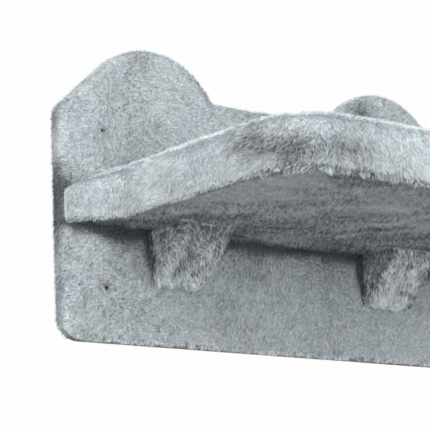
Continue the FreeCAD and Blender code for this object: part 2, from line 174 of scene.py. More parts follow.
def new_piece(name, points, faces, material, smooth_shaded=True, painted_shade=None):
    """A mesh piece.  Its painted shade, from 0 to 1 at each point, darkens its cloth."""
    mesh = bpy.data.meshes.new(name)
    mesh.from_pydata(np.asarray(points).tolist(), [], faces)
    if painted_shade is not None:
        point_values(mesh, "painted_shade", np.clip(painted_shade, 0, 1))
    if smooth_shaded:
        mesh.polygons.foreach_set("use_smooth", [True] * len(mesh.polygons))
    mesh.update()
    return add_piece(name, mesh, material)


class Shell:
    """Points and faces of a cloth shell while it is being made."""

    def __init__(self):
        self.points, self.faces, self.count = [], [], 0

    def add(self, points):
        start = self.count
        self.points.append(np.asarray(points, float))
        self.count += len(points)
        return np.arange(start, self.count)

    def bridge(self, first, second, closed):
        """Quads between two rows of points."""
        for i in range(len(first) if closed else len(first) - 1):
            j = (i + 1) % len(first)
            self.faces.append([int(first[i]), int(first[j]), int(second[j]), int(second[i])])

    def rows(self, rows, closed):
        numbers = [self.add(row) for row in rows]
        for first, second in zip(numbers, numbers[1:]):
            self.bridge(first, second, closed)
        return numbers

    def cap(self, ring, flat, spots, lift, holes=()):
        """Fill the closed row of points ring, which lies at flat in 2D, with
        even triangles round spots.  lift turns 2D into 3D; holes are loops of
        2D points, whose rows come back."""
        loops = [flat, *holes]
        edges, starts = [], np.cumsum([0] + [len(loop) for loop in loops])
        for start, loop in zip(starts, loops):
            edges += [(start + i, start + (i + 1) % len(loop)) for i in range(len(loop))]
        out, _, triangles, origin, _, _ = geometry.delaunay_2d_cdt(
            [Vector(p) for p in np.concatenate([*loops, spots]).tolist()], edges, [], 0, 1e-7)
        out = np.array([tuple(v) for v in out])
        triangles = np.array([list(t) for t in triangles])
        middle = out[triangles].mean(1)
        kept = inside(middle, flat)
        for hole in holes:
            kept &= ~inside(middle, hole)
        triangles = triangles[kept]
        numbers = np.full(len(out), -1)
        for i, sources in enumerate(origin):
            known = [int(ring[s]) for s in sources if s < len(flat)]
            if known:
                numbers[i] = known[0]
        fresh = np.unique(triangles)
        fresh = fresh[numbers[fresh] < 0]
        numbers[fresh] = self.add(lift(out[fresh]))
        self.faces += numbers[triangles].tolist()
        place = {s: numbers[i] for i, sources in enumerate(origin) for s in sources}
        return [np.array([place[start + k] for k in range(len(hole))])
                for start, hole in zip(starts[1:], holes)]

    def finished(self):
        return np.concatenate(self.points), self.faces


def inside(points, loop):
    """Which 2D points lie in the closed loop."""
    result = np.zeros(len(points), bool)
    x, y = points.T
    for (ax, ay), (bx, by) in zip(loop, np.roll(loop, -1, axis=0)):
        crosses = (ay > y) != (by > y)
        if ay != by:
            result ^= crosses & (x < (bx - ax) * (y - ay) / (by - ay) + ax)
    return result


def finder(points):
    """A tree that finds the nearest of the points."""
    tree = kdtree.KDTree(len(points))
    for number, point in enumerate(points):
        tree.insert(point, number)
    tree.balance()
    return tree


def clear_of(points, loop, gap):
    """Which 2D points are further than gap from the loop's points."""
    tree = finder(columns(*loop.T, 0))
    return np.array([tree.find((*point, 0))[2] > gap for point in points])


def honeycomb(low, high, step):
    """Evenly spread 2D points over a rectangle."""
    rows = np.arange(low[1], high[1], step * 0.866)
    return np.concatenate([columns(np.arange(low[0] + number % 2 * step / 2, high[0], step), y)
                           for number, y in enumerate(rows)])


def filling(loop, step, holes=()):
    """Spots inside a loop, clear of its edge and of the holes' edges."""
    spots = honeycomb(loop.min(0), loop.max(0), step)
    spots = spots[inside(spots, loop)]
    for edge in (loop, *holes):
        spots = spots[clear_of(spots, edge, step * 0.62)]
    return spots


def normals_of(points, faces):
    """Smooth normals at the points of a mesh."""
    total = np.zeros_like(points)
    for size in (3, 4):
        block = np.array([f for f in faces if len(f) == size], int).reshape(-1, size)
        normal = np.cross(points[block[:, 2]] - points[block[:, 0]],
                          points[block[:, -1]] - points[block[:, 1]])
        for corner in block.T:
            np.add.at(total, corner, normal)
    return unit(total)


# ---- outlines ----

def stretch(start, end, count):
    """Points on a straight run, without its end."""
    t = np.arange(count)[:, None] / count
    return np.asarray(start) * (1 - t) + np.asarray(end) * t


def bend(centre, radius, first, last, count):
    """Points on an arc between two angles in degrees, without its end."""
    a = np.radians(first + (last - first) * np.arange(count) / count)
    return centre + radius * columns(np.cos(a), np.sin(a))


def board_outline(inset):
    """The backboard's outline in x and z, drawn in by inset.  Every inset has
    the same number of points, so rows can be bridged."""
    half, radius = HALF_WIDTH - inset, HUMP_RADIUS - inset
    foot, shoulder = max(FOOT_ROUND - inset, 0.002), max(SHOULDER_ROUND - inset, 0.002)
    low, valley, inner = BOTTOM + inset, VALLEY - inset, VALLEY_ROUND + inset
    sin, cos = math.sin(SHOULDER_ANGLE), math.cos(SHOULDER_ANGLE)
    slope = (HUMP[0] + radius * sin, HUMP[1] + radius * cos)
    corner = slope[1] - (half - slope[0]) * math.tan(SHOULDER_ANGLE)
    turn = 90 - math.degrees(SHOULDER_ANGLE)
    tangent = shoulder * math.tan(math.radians(turn / 2))
    bow = (half - shoulder, corner - tangent)
    rise = valley + inner - HUMP[1]
    dip = HUMP[0] - math.sqrt((radius + inner) ** 2 - rise ** 2)
    meeting = math.degrees(math.atan2(rise, dip - HUMP[0]))
    right = np.concatenate([
        stretch((0, low), (half - foot, low), count=76),
        bend((half - foot, low + foot), foot, -90, 0, 12),
        stretch((half, low + foot), (half, bow[1]), count=52),
        bend(bow, shoulder, 0, turn, 6),
        stretch((bow[0] + shoulder * sin, bow[1] + shoulder * cos), slope, count=10),
        bend(HUMP, radius, turn, meeting, 45),
        bend((dip, valley + inner), inner, meeting - 180, -90, 5),
        stretch((dip, valley), (0, valley), count=23),
        [(0, valley)],
    ])
    left = right[1:-1][::-1] * (-1, 1)
    return np.concatenate([right, left])


def at_depth(outline, y):
    return columns(outline[:, 0], y, outline[:, 1])


def flare_share(out):
    """How far the band has spread, from 1 at the wall to 0."""
    return np.clip(1 - out / FLARE_DEPTH, 0, 1) ** 2.2


def drop_share(out):
    """How far the band's top has come down, from 1 at the wall to 0."""
    return np.clip(1 - out / DROP_DEPTH, 0, 1) ** 3.1


def seat_stations():
    """Points and outward normals round the seat in plan, from the wall on the
    left to the wall on the right."""
    out = np.concatenate([np.linspace(-0.0015, FLARE_DEPTH, 14)[:-1],
                          np.linspace(FLARE_DEPTH, SEAT_FRONT - BACK - SEAT_CORNER, 56)[:-1]])
    side = columns(-SEAT_HALF - FLARE_REACH * flare_share(out), -BACK - out)
    centre = (-SEAT_HALF + SEAT_CORNER, -SEAT_FRONT + SEAT_CORNER)
    corner = bend(centre, SEAT_CORNER, 180, 270, 28)
    front = stretch((centre[0], -SEAT_FRONT), (0, -SEAT_FRONT), count=50)
    left = np.concatenate([side, corner, front])
    path = np.concatenate([left, [(0, -SEAT_FRONT)], left[::-1] * (-1, 1)])
    run = np.gradient(path, axis=0)
    return path, unit(columns(run[:, 1], -run[:, 0]))


# ---- cloth ----

def lumps(points, seed=0):
    """Shallow unevenness of plush cloth, in metres outwards."""
    return MM * mottle(points, (0.55, 0.030, seed + 1), (0.45, 0.011, seed + 2),
                       (0.22, 0.0055, seed + 3))


def quarter(radius, steps):
    """(inset, rise) pairs round a soft edge."""
    a = np.radians(np.linspace(0, 90, steps))
    return radius * columns(1 - np.cos(a), np.sin(a))


def backboard_shell():
    """The plush sheet over front and edges, turned over at the rear."""
    shell = Shell()
    rows = [at_depth(board_outline(HEM), -0.0018)]
    for inset in (HEM - 0.0006, 0.0235, 0.019, 0.0145, 0.010, 0.006):
        rows.append(at_depth(board_outline(inset), -REAR))
    for inset, rise in quarter(REAR_ROUND, 4):
        rows.append(at_depth(board_outline(EDGE_SKIN + REAR_ROUND - rise), -REAR - inset))
    for y in (0.0055, 0.0085, 0.0110):
        rows.append(at_depth(board_outline(EDGE_SKIN), -y))
    soft = EDGE_ROUND - SKIN_DEPTH
    for inset, rise in quarter(soft, 7):
        rows.append(at_depth(board_outline(EDGE_SKIN + inset), EDGE_ROUND - BACK - rise))
    numbers = shell.rows(rows, closed=True)
    loop = board_outline(EDGE_SKIN + soft)
    holes = [bend(place, 0.0017 if place[1] > 0 else 0.0027, 0, 360, 16) for place in WALL_HOLES]
    rims = shell.cap(numbers[-1], loop, filling(loop, 0.0034, holes),
                     lambda p: at_depth(p, SKIN_DEPTH - BACK), holes)
    for rim, hole in zip(rims, holes):
        shell.bridge(shell.add(at_depth(hole, -0.0166)), rim, closed=True)
    return shell.finished()


def crown_height(x):
    """Height of the seat's top surface across its width."""
    return SEAT_SIDE_TOP + SEAT_CROWN * np.clip(1 - (x / SEAT_HALF) ** 2, 0, 1)


def seat_shell():
    """The cover of the seat: band, soft top edge, crowned top and the hem
    under the edge."""
    shell = Shell()
    path, normal = seat_stations()
    beside = np.abs(path[:, 0]) > SEAT_HALF - 1e-6
    share = np.where(beside, flare_share(-path[:, 1] - BACK), 0.0)
    fall = np.where(beside, drop_share(-path[:, 1] - BACK), 0.0)
    top_round, low_round = 0.0075 - 0.001 * share, 0.005 + 0.001 * share
    high = crown_height(path[:, 0]) - FLARE_DROP * fall
    low = SEAT_LOW + 0.0045 - 0.0045 * share

    def row(inset, z):
        flat = path - normal * columns(SKIN_DEPTH + inset)
        return columns(flat[:, 0], np.minimum(flat[:, 1], 0.002 - BACK), z)

    # Beneath the flare the hem runs flat to the edge of the lining.
    under_lining = LINING_TOP - 0.0006
    hem = row(HEM_INSET, np.minimum(low + 0.0022, under_lining))
    hem[beside, 0] = np.sign(path[beside, 0]) * (SEAT_HALF - SKIN_DEPTH - HEM_INSET)
    rows = [hem, row(HEM_INSET + 0.006 * share, np.minimum(low + 0.0012, under_lining))]
    for angle in np.radians(np.linspace(90, 0, 6)):
        rows.append(row(low_round * (1 - math.cos(angle)), low + low_round * (1 - math.sin(angle))))
    # The padding bulges between the two edges.
    for t in np.linspace(0, 1, 10)[1:-1]:
        z = (low + low_round) * (1 - t) + (high - top_round) * t
        puff = 0.0016 * math.sin(math.pi * min(1, t * 1.05)) + 0.0012 * t
        rows.append(row(-puff * (1 - share), z))
    for angle in np.radians(np.linspace(0, 90, 8)):
        soft = 0.0012 * math.cos(angle)
        rows.append(row(top_round * (1 - math.cos(angle)) - soft * (1 - share),
                        high - top_round * (1 - math.sin(angle))))
    numbers = shell.rows(rows, closed=False)
    loop = rows[-1][:, :2]

    def lift(p):
        x, out = p[:, 0], -p[:, 1] - BACK
        inner = SEAT_HALF - 0.003
        edge = SEAT_HALF + FLARE_REACH * flare_share(out) - SKIN_DEPTH - 0.007
        spread = smooth((np.abs(x) - inner) / np.maximum(edge - inner, 0.001), 0, 1)
        return columns(x, p[:, 1], crown_height(x) - FLARE_DROP * drop_share(out) * spread)

    shell.cap(numbers[-1], loop, filling(loop, 0.0042), lift)
    return shell.finished()


BRACKET_TOP_REACH, BRACKET_FOOT_REACH = 0.0502, 0.0080


def bracket_reach(z):
    """How far the wedge stands out from the backboard at a height."""
    t = np.clip((LINING - z) / (LINING - BRACKET_FOOT), 0, 1)
    return BRACKET_TOP_REACH * (1 - t) + BRACKET_FOOT_REACH * t


def bracket_shell(x):
    """The plush round one wedge: open at the wall and at the seat."""
    shell = Shell()
    rows = []
    foot = BRACKET_FOOT + 0.003
    turn = 0.0065            # height over which the foot is turned under
    heights = np.concatenate([np.linspace(LINING + 0.004, foot + turn, 22)[:-1],
                              foot + turn * (1 - np.sin(np.radians(np.linspace(0, 90, 7))))])
    for z in heights:
        above = np.clip((z - foot) / turn, 0, 1)
        tuck = 1 - math.sqrt(max(0.0, 1 - (1 - above) ** 2))
        reach = bracket_reach(z) - SKIN_DEPTH + 0.0015 * math.sin(math.pi * (1 - above * 0.5))
        reach *= 1 - 0.75 * tuck
        half = BRACKET_HALF + 0.002 * smooth(z, foot, LINING) - 0.0025 * tuck
        soft = min(0.0055, reach * 0.7)
        wall = -BACK + 0.003
        front = -BACK - reach
        left = np.concatenate([stretch((-half, wall), (-half, front + soft), count=16),
                               bend((-half + soft, front + soft), soft, 180, 270, 8),
                               stretch((-half + soft, front), (0, front), count=8)])
        flat = np.concatenate([left, [(0, front)], left[::-1] * (-1, 1)])
        # The cover is gathered in two lobes at the foot.
        lobes = np.sin(math.pi * flat[:, 0] / half) ** 2 * (flat[:, 1] < front + soft * 0.6)
        lobes = lobes * (1 - smooth(z, foot + 0.010, foot + 0.024))
        rows.append(columns(flat[:, 0] + x, flat[:, 1] - 0.0020 * lobes, z - 0.0018 * lobes))
    rows.append(rows[-1] * (1, 0, 1) + (0, -BACK + 0.002, 0.0005))
    shell.rows(rows[::-1], closed=False)
    return shell.finished()


FREE = 0.096             # the lining is slack from the middle to here

# Slack folds of the lining: (start and end across, as shares of FREE; start
# and end out from the backboard; half width; height).
FOLDS = (
    (-1.00, 0.96, 0.0242, 0.0255, 0.020, 0.0045),
    (-0.94, 0.20, 0.0587, 0.1046, 0.013, 0.0032),
    (-0.62, 1.25, 0.1275, 0.1556, 0.016, 0.0023),
    (-1.56, 0.94, 0.2091, 0.2040, 0.015, 0.0036),
)
# Pulled creases from the wedges, as lines in plan: (x, out) to (x, out), width
# and depth.
CREASES = (
    ((-0.0960, 0.0330), (-0.0050, 0.1020), 0.0069, 0.0030),
    ((-0.1000, 0.0120), (0.0200, 0.0160), 0.0060, 0.0026),
    ((-0.0980, 0.0240), (0.0300, 0.0560), 0.0063, 0.0018),
    ((-0.1957, 0.1850), (-0.1000, 0.1850), 0.0105, 0.0018),
    ((-0.0800, 0.1490), (0.0100, 0.1530), 0.0128, 0.0018),
    ((-0.1500, 0.0300), (-0.1850, 0.1500), 0.0090, 0.0014),
    ((0.1040, 0.0160), (0.0000, 0.0450), 0.0067, 0.0018),
    ((0.0200, 0.1500), (0.1700, 0.1800), 0.0097, 0.0015),
)


def pulled(x, out):
    """Depth of the pulled creases at a place under the seat."""
    total = np.zeros_like(x)
    for (ax, ay), (bx, by), width, depth in CREASES:
        run = np.array((bx - ax, by - ay))
        t = ((x - ax) * run[0] + (out - ay) * run[1]) / (run @ run)
        away = np.abs((x - ax) * run[1] - (out - ay) * run[0]) / np.linalg.norm(run)
        wave = 0.0015 * np.sin(9 * t + 40 * ax)
        fade = smooth(t, -0.05, 0.15) * (1 - smooth(t, 0.6, 1.05))
        total += depth * fade * bell(away + wave, width)
    return total


def lining_drop(x, out):
    """How far the lining hangs below the seat's underside."""
    drop = np.zeros_like(x)
    for start, end, near, far, half, height in FOLDS:
        t = np.clip((x / FREE - start) / (end - start), 0, 1)
        swell = np.sin(math.pi * t)
        width = half * (0.45 + 0.55 * swell)
        place = (out - (near + (far - near) * t)) / width
        drop = np.maximum(drop, height * swell * np.exp(-1.4 * place ** 2))
    return drop - 1.2 * pulled(x, out)


def lining_shell():
    """The slack lining, held at its edge."""
    shell = Shell()
    edge = 0.0085            # in from the seat's side
    wide, radius = SEAT_HALF - edge, SEAT_CORNER - edge
    x = np.linspace(-wide, wide, 150)
    out = np.linspace(-0.001, SEAT_FRONT - BACK - edge, 96)
    rows = []
    for o in out:
        beyond = max(o - (SEAT_FRONT - BACK - SEAT_CORNER), 0.0)
        half = wide - radius + math.sqrt(max(radius ** 2 - beyond ** 2, 0.0))
        across = x / wide * half
        held = smooth(half - np.abs(across), 0.0, 0.02) * smooth(out[-1] - o, 0.0, 0.02)
        drop = lining_drop(across, o) * held
        height = np.minimum(LINING + 0.0004 + 0.0020 * (1 - held) - drop, LINING_TOP)
        rows.append(columns(across, -BACK - o, height))
    shell.rows(rows, closed=False)
    return shell.finished()


# ---- materials ----

def give(tree, socket, value):
    """Set a socket's value, or link another socket to it."""
    if isinstance(value, bpy.types.NodeSocket):
        tree.links.new(value, socket)
    elif socket.type == "RGBA":
        socket.default_value = (*value, 1)
    else:
        socket.default_value = value


def wire(tree, node, inputs):
    """Give a node's inputs, by name or number, their values or links."""
    for key, value in inputs.items():
        give(tree, node.inputs[key], value)
    return node


def add_node(tree, kind, inputs=None, **settings):
    node = tree.nodes.new("ShaderNode" + kind)
    for name, value in settings.items():
        setattr(node, name, value)
    return wire(tree, node, inputs or {})


def new_material(name, roughness, specular):
    """A material, its node tree, its shader and the object's coordinates."""
    material = bpy.data.materials.new(name)
    material.use_nodes = True
    tree = material.node_tree
    shader = tree.nodes["Principled BSDF"]
    wire(tree, shader, {"Roughness": roughness, "Specular IOR Level": specular})
    return material, tree, shader, add_node(tree, "TexCoord").outputs["Object"]


def attribute(tree, name):
    return add_node(tree, "Attribute", attribute_name=name).outputs["Fac"]


def ramp(tree, factor, *stops):
    """The colour that the stops, each a place and a colour, give for factor."""
    node = add_node(tree, "ValToRGB", {"Fac": factor})
    elements = node.color_ramp.elements
    while len(elements) < len(stops):
        elements.new(0.5)
    for element, (place, colour) in zip(elements, stops):
        element.position = place
        element.color = (*colour, 1)
    return node.outputs["Color"]


def linear(red, green, blue):
    """A colour written as it shows on screen, 11 to 255."""
    return tuple(((c / 255 + 0.055) / 1.055) ** 2.4 for c in (red, green, blue))


def grey(level):
    return (level, level, level)


def speckle(tree, place, scale, detail=3.0, roughness=0.55, output="Fac"):
    node = add_node(tree, "TexNoise", {"Vector": place, "Scale": scale, "Detail": detail,
                                       "Roughness": roughness})
    return node.outputs[output]


def mix_colour(tree, kind, factor, first, second):
    node = add_node(tree, "Mix", data_type="RGBA", blend_type=kind)
    sockets = {socket.name: socket for socket in node.inputs if socket.enabled}
    for key, value in (("Factor", factor), ("A", first), ("B", second)):
        give(tree, sockets[key], value)
    return next(socket for socket in node.outputs if socket.enabled)


def add_bump(tree, shader, height, strength, distance):
    bump = add_node(tree, "Bump", {"Strength": strength, "Distance": distance, "Height": height})
    wire(tree, shader, {"Normal": bump.outputs["Normal"]})


def plush_material(name, root, middle, tip, sheen):
    """Plush: darker at the root of a strand, painted shade deep in the pile, paler at its tip, with
    its own tone for each lock, which also carries painted light and shade.  A strand's rear side
    lets the light through."""
    material, tree, shader, place = new_material(name, 0.9, 0.15)
    shaded_strand = ramp(tree, attribute(tree, "along"), (0.0, root), (0.45, middle), (1.0, tip))
    # The tone's dark end goes far down, so that painted shade can be very dark.
    tone_and_shade = ramp(tree, attribute(tree, "tone_and_shade"), (0.0, (0.16, 0.163, 0.167)),
                (0.24, (0.58, 0.585, 0.59)), (0.5, grey(0.93)), (1.0, (1.27, 1.27, 1.265)))
    cast = ramp(tree, speckle(tree, place, 34.0, 2.0), (0.3, (0.965, 0.985, 1.0)),
                (0.7, (1.02, 1.01, 0.995)))
    colour = mix_colour(tree, "MULTIPLY", 1.0, shaded_strand, tone_and_shade)
    colour = mix_colour(tree, "MULTIPLY", 1.0, colour, cast)
    wire(tree, shader, {"Base Color": colour, "Sheen Weight": sheen, "Sheen Roughness": 0.55})
    glow = add_node(tree, "BsdfTranslucent", {"Color": colour})
    rear = add_node(tree, "NewGeometry").outputs["Backfacing"]
    both = add_node(tree, "MixShader", {0: rear, 1: shader.outputs[0], 2: glow.outputs[0]})
    wire(tree, tree.nodes["Material Output"], {"Surface": both.outputs[0]})
    return material


# The bare backing shows along the backboard's bottom edge, next to the wall, in a dark olive: the
# backing's own tint, darkened as painted shade of that downward face.
# Its rows: an axis, where the backing begins to show and where it shows in full.
BARE_EDGE = (("Y", -0.0150, -0.0140), ("Z", -0.1145, -0.1165), ("Y", -0.0009, -0.0013))
BACKING_AND_SHADE = linear(90, 88, 74)
# The colour of the painted shade on the cloth, where parts meet and beneath the seat's edge.
PAINTED_SHADE_COLOUR = linear(40, 43, 45)


def cloth_material(name, dark, pale, scale, strength):
    """The cloth under the pile: mottled, with a short nap in its bump, the shaded backing at the
    bottom edge and painted shade where the piece asks for it.
    """
    material, tree, shader, place = new_material(name, 0.95, 0.1)
    nap = speckle(tree, place, scale, 3.0, 0.7)
    axes = add_node(tree, "SeparateXYZ", {0: place}).outputs
    bare = 1.0
    for axis, start, full in BARE_EDGE:
        step = add_node(tree, "MapRange", {"Value": axes[axis], "From Min": start,
                                           "From Max": full}).outputs["Result"]
        bare = add_node(tree, "Math", {0: bare, 1: step}, operation="MULTIPLY").outputs[0]
    colour = ramp(tree, nap, (0.28, dark), (0.72, pale))
    colour = mix_colour(tree, "MIX", bare, colour, BACKING_AND_SHADE)
    colour = mix_colour(tree, "MIX", attribute(tree, "painted_shade"), colour, PAINTED_SHADE_COLOUR)
    wire(tree, shader, {"Base Color": colour, "Sheen Weight": 0.2})
    add_bump(tree, shader, nap, strength, 0.001)
    return material


def chipboard_material():
    """Long chips, laid at a slant and warped, with dust between them."""
    material, tree, shader, place = new_material("Chipboard", 0.8, 0.3)
    warp = speckle(tree, place, 55.0, 4.0, output="Color")
    moved = add_node(tree, "VectorMath", {0: warp, 1: grey(0.012), 2: place},
                     operation="MULTIPLY_ADD")
    laid = add_node(tree, "Mapping", {"Vector": moved.outputs["Vector"], "Rotation": (0, 0.6, 0),
                                      "Scale": (0.45, 1.0, 1.0)})
    chips = add_node(tree, "TexVoronoi", {"Vector": laid.outputs["Vector"], "Scale": 420})
    split = add_node(tree, "SeparateColor", {"Color": chips.outputs["Color"]})
    colour = ramp(tree, split.outputs["Red"], (0.0, linear(150, 128, 94)),
                  (0.25, linear(178, 156, 118)), (0.65, linear(192, 171, 134)),
                  (1.0, linear(206, 188, 152)))
    dust = speckle(tree, place, 900.0, 2.0)
    fine = ramp(tree, dust, (0.35, (0.86, 0.84, 0.82)), (0.65, grey(1.0)))
    wire(tree, shader, {"Base Color": mix_colour(tree, "MULTIPLY", 1.0, colour, fine)})
    add_bump(tree, shader, dust, 0.35, 0.0006)
    return material


def wood_material():
    material, tree, shader, place = new_material("PineWood", 0.65, 0.35)
    grain = add_node(tree, "TexWave", {"Vector": place, "Scale": 60, "Distortion": 6, "Detail": 3},
                     wave_type="BANDS", bands_direction="Z")
    wire(tree, shader, {"Base Color": ramp(tree, grain.outputs["Fac"], (0.0, linear(186, 142, 92)),
                                           (1.0, linear(222, 188, 138)))})
    return material


def foam_material():
    material, tree, shader, place = new_material("Foam", 0.9, 0.2)
    cells = add_node(tree, "TexVoronoi", {"Vector": place, "Scale": 700}).outputs["Distance"]
    wire(tree, shader, {"Base Color": ramp(tree, cells, (0.0, linear(196, 190, 160)),
                                           (0.8, linear(236, 230, 204)))})
    return material


def steel_material():
    material, tree, shader, place = new_material("ZincSteel", 0.35, 0.5)
    wear = speckle(tree, place, 600.0, 3.0)
    rough = add_node(tree, "MapRange", {"Value": wear, "To Min": 0.25, "To Max": 0.5})
    wire(tree, shader, {"Metallic": 1.0, "Roughness": rough.outputs["Result"],
                        "Base Color": ramp(tree, wear, (0.3, linear(150, 148, 140)),
                                           (0.7, linear(196, 194, 186)))})
    return material


# Plush colours, root, middle and tip: the darker root is painted shade deep in the pile.
PILE = plush_material("PlushPile", linear(151, 157, 160), linear(208, 214, 217),
                      linear(230, 235, 238), 0.25)
CLOTH = cloth_material("PlushCloth", linear(150, 158, 161), linear(186, 194, 198), 700.0, 0.6)
# The lining's colours are a darker copy of the plush: painted shade of the seat's underside.
SHADED_LINING_PILE = plush_material("LiningPileShaded", linear(118, 124, 127), linear(160, 166, 169),
                             linear(175, 181, 184), 0.15)
SHADED_LINING_CLOTH = cloth_material("LiningClothShaded", linear(112, 119, 122), linear(150, 158, 161),
                              520.0, 0.7)
CHIPBOARD = chipboard_material()
WOOD = wood_material()
FOAM = foam_material()
STEEL = steel_material()


# ---- pile ----

def scattered(points, faces, density, rng, kept=None):
    """Points spread over a shell with their normals, density a square metre."""
    corners = np.array([(f[0], f[i], f[i + 1]) for f in faces for i in range(1, len(f) - 1)])
    if kept is not None:
        corners = corners[kept(points[corners].mean(1))]
    a, b, c = (points[corners[:, i]] for i in range(3))
    area = np.linalg.norm(np.cross(b - a, c - a), axis=1) / 2
    reach = np.cumsum(area)
    count = int(reach[-1] * density)
    at = (np.arange(count) + rng.random(count)) / count * reach[-1]
    chosen = np.searchsorted(reach, at).clip(0, len(area) - 1)
    u, v = rng.random((2, count, 1))
    over = u + v > 1
    u, v = np.where(over, 1 - u, u), np.where(over, 1 - v, v)
    normals = normals_of(points, faces)
    na, nb, nc = (normals[corners[chosen, i]] for i in range(3))
    place = a[chosen] + u * (b - a)[chosen] + v * (c - a)[chosen]
    return place, unit(na + u * (nb - na) + v * (nc - na))


def tangent(normal, way):
    """The part of way that lies in the surface."""
    way = np.broadcast_to(np.asarray(way, float), normal.shape)
    return unit(way - normal * np.sum(way * normal, axis=1, keepdims=True))


def swirled(normal, way, place, *layers):
    """way laid in the surface and turned about the normal by layers of noise."""
    way = tangent(normal, way)
    angle = mottle(place, *layers)[:, None]
    return way * np.cos(angle) + np.cross(normal, way) * np.sin(angle)


ROOT_DEPTH = 0.0004      # a strand starts this far under the cloth
WALL_GAP = 0.0004        # and stays this far off the wall

# Strands of one and of two segments: corners as their row (0 root, 1 middle,
# 2 tip) and shares of the half width, triangles, place along the strand and
# place in the strand's cell of the map.
STRAND_SHAPES = {
    1: (((0, -1), (0, 1), (2, 0)), [[0, 1, 2]], [0.0, 0.0, 1.0],
        [[0.1, 0.05], [0.9, 0.05], [0.5, 0.95]]),
    2: (((0, -1), (0, 1), (1, 0.85), (1, -0.85), (2, 0)), [[0, 1, 2], [0, 2, 3], [3, 2, 4]],
        [0.0, 0.0, 0.55, 0.55, 1.0],
        [[0.1, 0.05], [0.9, 0.05], [0.8, 0.5], [0.2, 0.5], [0.5, 0.95]]),
}


def strands(name, rng, place, normal, way, length, tone_and_shade, width, lift, clump=0.0035, pull=0.45,
            segments=1, leading=0.10, toward=0.0, contrast=1.0, material=PILE):
    """A pile of flat tapering strands.  way is the direction each one is
    combed in and lift how steeply it stands up.  The tips of a lock, clump
    across, draw together by pull; leading is the share of strands that lead
    one.  toward turns the light's normals, and contrast is the strands' own."""
    count = len(place)
    combed = tangent(normal, tangent(normal, way) + rng.normal(0, 0.22, (count, 3)))
    lift = np.clip(lift + rng.normal(0, 0.12, count), 0.12, 1.35)[:, None]
    length = (length * rng.uniform(0.75, 1.25, count))[:, None]
    start = unit(combed * np.cos(lift * 1.15) + normal * np.sin(lift * 1.15))
    finish = unit(combed * np.cos(lift * 0.6) + normal * np.sin(lift * 0.6))
    middle = place + start * length * 0.5
    tip = middle + finish * length * 0.5
    # Locks: the tips lean towards the tip of a leading strand close by.
    leaders = rng.permutation(count)[:max(1, int(count * leading))]
    tree = finder(place[leaders])
    nearest, gap = np.zeros(count, int), np.zeros(count)
    for i, p in enumerate(place):
        _, number, distance = tree.find(p)
        nearest[i], gap[i] = leaders[number], distance
    near = (pull * (1 - smooth(gap, clump * 0.5, clump * 1.6)))[:, None]
    tip = tip * (1 - near) + tip[nearest] * near
    middle = middle * (1 - near * 0.35) + middle[nearest] * near * 0.35
    across = unit(np.cross(unit(tip - place), normal) + normal * rng.normal(0, 0.35, (count, 1)))
    half = (width * rng.uniform(0.7, 1.3, count))[:, None] * 0.5
    rows = (place - normal * ROOT_DEPTH, middle, tip)
    for row in rows:
        row[:, 1] = np.minimum(row[:, 1], -WALL_GAP)
    lock_tone = rng.uniform(0, 1, count)[nearest]
    # A strand's tone is its own and its lock's, plus the painted light and shade given to it.
    own = 0.5 + contrast * (0.40 * (lock_tone - 0.5) + 0.66 * (rng.random(count) - 0.5)) + tone_and_shade
    shape, pattern, along, flat = STRAND_SHAPES[segments]
    corners = np.stack([rows[row] + across * half * share for row, share in shape], 1)
    size = len(shape)
    triangles = (np.array(pattern) + (np.arange(count) * size)[:, None, None]).reshape(-1, 3)
    mesh = bpy.data.meshes.new(name)
    mesh.vertices.add(count * size)
    mesh.vertices.foreach_set("co", corners.astype(np.float32).ravel())
    mesh.loops.add(len(triangles) * 3)
    mesh.loops.foreach_set("vertex_index", triangles.astype(np.int32).ravel())
    mesh.polygons.add(len(triangles))
    mesh.polygons.foreach_set("loop_start", np.arange(len(triangles), dtype=np.int32) * 3)
    mesh.update(calc_edges=True)
    mesh.polygons.foreach_set("use_smooth", [True] * len(triangles))
    point_values(mesh, "along", np.tile(along, count))
    point_values(mesh, "tone_and_shade", np.repeat(np.clip(own, 0, 1), size))
    # Each strand has a cell of its own on the map.
    wide = math.ceil(math.sqrt(count))
    cell = columns(np.arange(count) % wide, np.arange(count) // wide)[:, None, :]
    spots = ((cell + flat) / wide).reshape(-1, 2)
    mesh.uv_layers.new(name="OFBake").uv.foreach_set(
        "vector", spots[triangles.ravel()].astype(np.float32).ravel())
    # The light falls on the pile as a whole, not on each strand's own faces.
    soft = unit(normal + toward + 0.25 * combed + rng.normal(0, 0.38, (count, 3)))
    mesh.normals_split_custom_set_from_vertices(np.repeat(soft, size, axis=0))
    return add_piece(name, mesh, material)


def run_along(path):
    """How far along a path each of its points is."""
    return np.concatenate([[0], np.cumsum(np.linalg.norm(np.diff(path, axis=0), axis=1))])


def tufts_along(rng, path, count, each, margin):
    """Tufts at random along a 2D path: their centres, the path's direction and
    the way outwards there, and which tuft each strand belongs to."""
    run = run_along(path)
    at = np.sort(rng.uniform(margin, run[-1] - margin, count))

    def between(values):
        return columns(*(np.interp(at, run, value) for value in values.T))

    along = unit(between(unit(np.gradient(path, axis=0))))
    outward = columns(along[:, 1], -along[:, 0])
    return between(path), along, outward, np.repeat(np.arange(count), each)


# ---- backboard ----

STAPLE_HALF, STAPLE_LEG, STAPLE_WIRE = 0.005, 0.007, 0.0004
BOX_FACES = ((0, 1, 2, 3), (7, 6, 5, 4), (0, 4, 5, 1), (1, 5, 6, 2), (2, 6, 7, 3), (3, 7, 4, 0))


